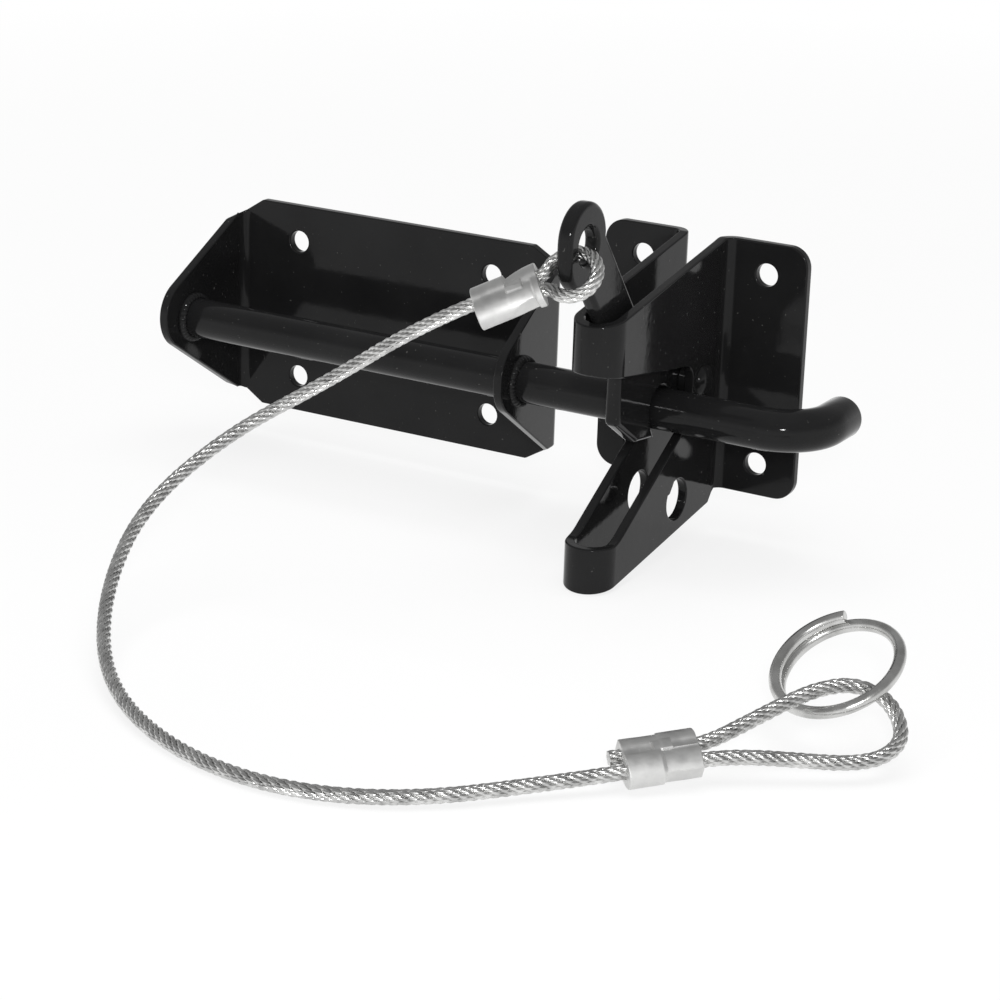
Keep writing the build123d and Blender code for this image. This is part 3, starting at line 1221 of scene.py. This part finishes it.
@dataclass(frozen=True)
class PullCable:
    """The whole cable: two loops, two sleeves, the free stretch, its cut end and the ring.

    The frames are the origin and axes of each sleeve's mouth, in metres. Routes are in millimetres:
    the free one in the part's frame, the flat ones across a sleeve and along it from its mouth.
    """

    diameter: float = 4.0 * MM
    eye_frame: tuple[Point, ...] = (
        (-0.006948, -0.090283, 0.040617),
        (-0.6018, 0.5647, 0.5647),
        (0.0, 0.7071, -0.7071),
        (-0.7986, -0.4256, -0.4256),
    )
    ring_frame: tuple[Point, ...] = (
        (0.088486, -0.172777, -0.046486),
        (-0.6281, 0.5574, 0.5430),
        (-0.3423, 0.4287, -0.8361),
        (-0.6988, -0.7111, -0.0785),
    )
    free_route: tuple[Point, ...] = (
        (-23.716, -97.225, 33.675), (-37.293, -104.46, 26.44), (-66.0, -106.0, 6.0),
        (-89.0, -124.0, -10.0), (-98.0, -152.0, -26.0), (-88.0, -182.0, -40.0),
        (-65.0, -212.0, -49.5), (-31.0, -233.0, -52.0), (6.0, -240.0, -52.0),
        (38.0, -228.5, -51.6), (64.535, -199.842, -50.555), (76.413, -187.754, -49.222),
    )
    eye_loop: tuple[Pair, ...] = (
        (2.25, 1.5), (2.25, -2.0), (5.5, -4.6), (6.5, -11.2), (2.05, -16.4),
        (-4.85, -16.4), (-9.3, -11.2), (-7.6, -4.6), (-2.25, -2.0), (-2.25, 1.5),
    )
    ring_loop: tuple[Pair, ...] = (
        (2.25, 1.5), (2.25, -3.0), (6.0, -14.0), (10.6, -27.0), (13.0, -36.0),
        (13.0, -45.5), (6.6, -53.2), (-4.9, -53.2), (-9.8, -46.0), (-9.9, -37.0),
        (-7.2, -26.5), (-3.8, -14.0), (-2.25, -4.0), (-2.25, 1.5),
    )
    end_stub: tuple[Pair, ...] = ((2.25, 17.8), (2.25, 19.3), (2.25, 20.8), (2.25, 22.3))
    blend_start: Point = (-0.04, -0.11, 0.024)
    blend_end: Point = (-0.04, -0.11, -0.046)

    def build(self, finishes: Finishes) -> None:
        """Model every piece of the cable and log the length of each stretch of rope.

        Args:
            finishes: The latch's finishes.
        """
        eye = axes_matrix(*self.eye_frame)
        ring = axes_matrix(*self.ring_frame)
        upper = CrimpedSleeve(
            "upper_sleeve", eye, over=((0.6, 0.0), (8.8, 2.9), (9.6, 0.0)),
            under=((0.0, -0.6), (1.9, -0.3), (2.4, 1.5), (6.0, 1.1), (9.5, 0.2), (9.7, 0.0)),
            block=(4.6, 9.6),
        ).build()
        hand_over(upper, Body.LEVER, Slot.SLEEVE, finishes, "upper_ferrule")
        lower = CrimpedSleeve(
            "lower_sleeve", ring, over=((9.2, 0.0), (9.8, 1.3), (19.3, 1.0)),
            under=((0.0, 1.2), (9.6, 1.4), (10.2, 0.0)), block=(6.8, 11.7), seam=1.6 * MM,
        ).build()
        hand_over(lower, Body.CATCH, Slot.SLEEVE, finishes, "lower_ferrule")
        split = SplitRing().build()
        hand_over(split, Body.CATCH, Slot.RING, finishes, "pull_ring")
        eye_loop, eye_line = self._flat_rope("rope_eye_loop", self.eye_loop, eye)
        hand_over(eye_loop, Body.LEVER, Slot.ROPE, finishes, "cable_eye_loop")
        ring_loop, ring_line = self._flat_rope("rope_ring_loop", self.ring_loop, ring)
        hand_over(ring_loop, Body.CATCH, Slot.ROPE, finishes, "cable_ring_loop")
        stub, _ = self._flat_rope("rope_cut_end", self.end_stub, ring)
        hand_over(stub, Body.CATCH, Slot.ROPE, finishes, "cable_end")
        route = [Vector(place) * MM for place in self.free_route]
        free, free_line = Rope("rope_free_stretch", route).build()
        finishes.dress(free, Slot.ROPE)
        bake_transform(free)
        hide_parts("pull_cable")
        self._declare(free, free_line)
        self._declare(eye_loop, eye_line)
        self._declare(ring_loop, ring_line)

    @staticmethod
    def _flat_rope(
        name: str, outline: Sequence[Pair], place: Matrix
    ) -> tuple[Piece, list[Vector]]:
        """Rope along a flat route.

        Args:
            name: Piece name.
            outline: Route points across and along the sleeve.
            place: Frame of the sleeve's mouth.

        Returns:
            The rope and its centre line.
        """
        route = [place @ (Vector((across, 0.0, along)) * MM) for across, along in outline]
        return Rope(name, route).build()

    def _declare(
        self, piece: Piece, line: Sequence[Vector]
    ) -> None:
        """Log the length of a stretch of rope.

        Args:
            piece: The rope's object.
            line: Its centre line.
        """
        LOG.info("%s: %.1f mm of rope", piece.name, line_length(line) / MM)


# Studio


@dataclass(frozen=True)
class Lamp:
    """One soft square lamp, its size in metres and its power in watts."""

    name: str
    place: Point
    aim: Point
    size: float
    power: float
    in_gloss: bool = True

    def build(self) -> None:
        """Hang the lamp and turn it to its aim."""
        data = bpy.data.lights.new(self.name, "AREA")
        data.size = self.size
        data.energy = self.power
        lamp = show(bpy.data.objects.new(self.name, data))
        lamp.location = self.place
        away = Vector(self.place) - Vector(self.aim)
        lamp.rotation_euler = away.to_track_quat("Z", "Y").to_euler()
        lamp.visible_glossy = self.in_gloss


@dataclass(frozen=True)
class Studio:
    """Pale floor, white surround, soft light and the portrait camera.

    The floor glows more outwards and the surround fades upwards, each over a range of places.
    """

    floor_z: float = -0.0542
    floor_size: float = 6.0
    floor_clouds: Pair = (3.0, 3.0)
    floor_dark: Point = (0.80, 0.80, 0.80)
    floor_light: Point = (0.84, 0.84, 0.84)
    glow_reach: Pair = (0.3, 1.0)
    glow: Pair = (0.80, 1.0)
    fade_height: Pair = (0.03, 0.40)
    fade: Pair = (1.0, 0.32)
    lens: float = 104.4
    sensor: float = 36.0
    near: float = 0.01
    right: Point = (0.86021, 0.50896, 0.0315)
    up: Point = (-0.18913, 0.26105, 0.94662)
    back: Point = (0.47357, -0.82025, 0.32082)
    eye: Point = (0.3734, -0.7676, 0.2403)
    lamps: tuple[Lamp, ...] = (
        Lamp("flash_panel", (0.46, -0.86, 0.36), (0.0, -0.06, 0.0), size=0.09, power=3.2),
        Lamp(
            "soft_panel", (0.0, -0.10, 1.4), (0.0, -0.10, 0.0), size=1.4, power=19.0, in_gloss=False
        ),
    )

    def build(self) -> None:
        """Set up the camera, the floor, the surround and the lamps."""
        bpy.context.scene.view_settings.view_transform = "Standard"
        self._camera()
        self._floor()
        self._surround()
        for lamp in self.lamps:
            lamp.build()

    def _camera(self) -> None:
        """Place the camera at the photograph's angle."""
        data = bpy.data.cameras.new("portrait_camera")
        data.lens = self.lens
        data.sensor_width = self.sensor
        data.sensor_fit = "HORIZONTAL"
        data.clip_start = self.near
        camera = show(bpy.data.objects.new("portrait_camera", data))
        camera.matrix_world = axes_matrix(self.eye, self.right, self.up, self.back)
        bpy.context.scene.camera = camera

    def _floor(self) -> None:
        """Lay a pale floor that stays white to the camera and keeps the shadow."""
        floor = primitive(
            "studio_floor", bpy.ops.mesh.primitive_plane_add,
            size=self.floor_size, location=(0.0, 0.0, self.floor_z),
        )
        shader = Shader("pale floor")
        clouds = shader.noise(*self.floor_clouds)
        colour = shader.shade(clouds, NOISE_RANGE, self.floor_dark, self.floor_light)
        reach = shader.node("VectorMath")
        reach.operation = "LENGTH"
        shader.feed(reach.inputs[0], shader.coords)
        glow = shader.spread(reach.outputs["Value"], self.glow_reach, self.glow)
        mix = shader.node("MixShader")
        for socket, value in zip(mix.inputs, (
            shader.combine("MULTIPLY", glow, self._seen(shader)),
            shader.node("BsdfDiffuse", Color=colour).outputs[0],
            shader.node("Emission", Strength=1.0).outputs[0],
        )):
            shader.feed(socket, value)
        shader.tree.nodes.remove(shader.bsdf)
        shader.plug(shader.tree.nodes["Material Output"], Surface=mix.outputs[0])
        floor.data.materials.append(shader.material)

    @staticmethod
    def _seen(graph: NodeGraph) -> Socket:
        """Tell the rays that show the background: seen directly, in metal or through glass.

        Args:
            graph: Tree that needs to know.

        Returns:
            One for such rays, zero for others.
        """
        rays = graph.node("LightPath").outputs
        direct = graph.combine("MAXIMUM", rays["Is Camera Ray"], rays["Is Glossy Ray"])
        return graph.combine("MAXIMUM", direct, rays["Is Transmission Ray"])

    def _surround(self) -> None:
        """Make the surround white low down and dim overhead, and white all over to the camera."""
        world = bpy.data.worlds.new("studio_surround")
        bpy.context.scene.world = world
        world.use_nodes = True
        graph = NodeGraph(world.node_tree, "Generated")
        height = graph.node("SeparateXYZ", Vector=graph.coords).outputs["Z"]
        fade = graph.spread(height, self.fade_height, self.fade)
        camera_ray = graph.node("LightPath").outputs["Is Camera Ray"]
        graph.plug(
            graph.tree.nodes["Background"], Color=(1.0, 1.0, 1.0, 1.0),
            Strength=graph.combine("MAXIMUM", camera_ray, fade),
        )


def main() -> None:
    """Build the latch piece by piece."""
    logging.basicConfig(level=logging.INFO, format="%(name)s %(message)s")
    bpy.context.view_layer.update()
    Studio().build()
    finishes = Finishes()
    PullCable().build(finishes)
    sheet_round, lever_round, spacer_round = 0.5 * MM, 1.5 * MM, 0.3 * MM
    for piece in (
        SoftenedSteel("catch_body", "catch_folded_sheet", Body.CATCH, sheet_round),
        SoftenedSteel("gate_bracket", "bracket_folded_sheet", Body.CATCH, sheet_round, EarSet()),
        SoftenedSteel("latch_lever", "lever_plate", Body.LEVER, lever_round),
        StrikeBar(),
        PivotPin(),
        SoftenedSteel("left_spacer", "left_spacer_washer", Body.CATCH, spacer_round),
        SoftenedSteel("right_spacer", "right_spacer_washer", Body.CATCH, spacer_round),
    ):
        piece.build(finishes)


if __name__ == "__main__":
    main()
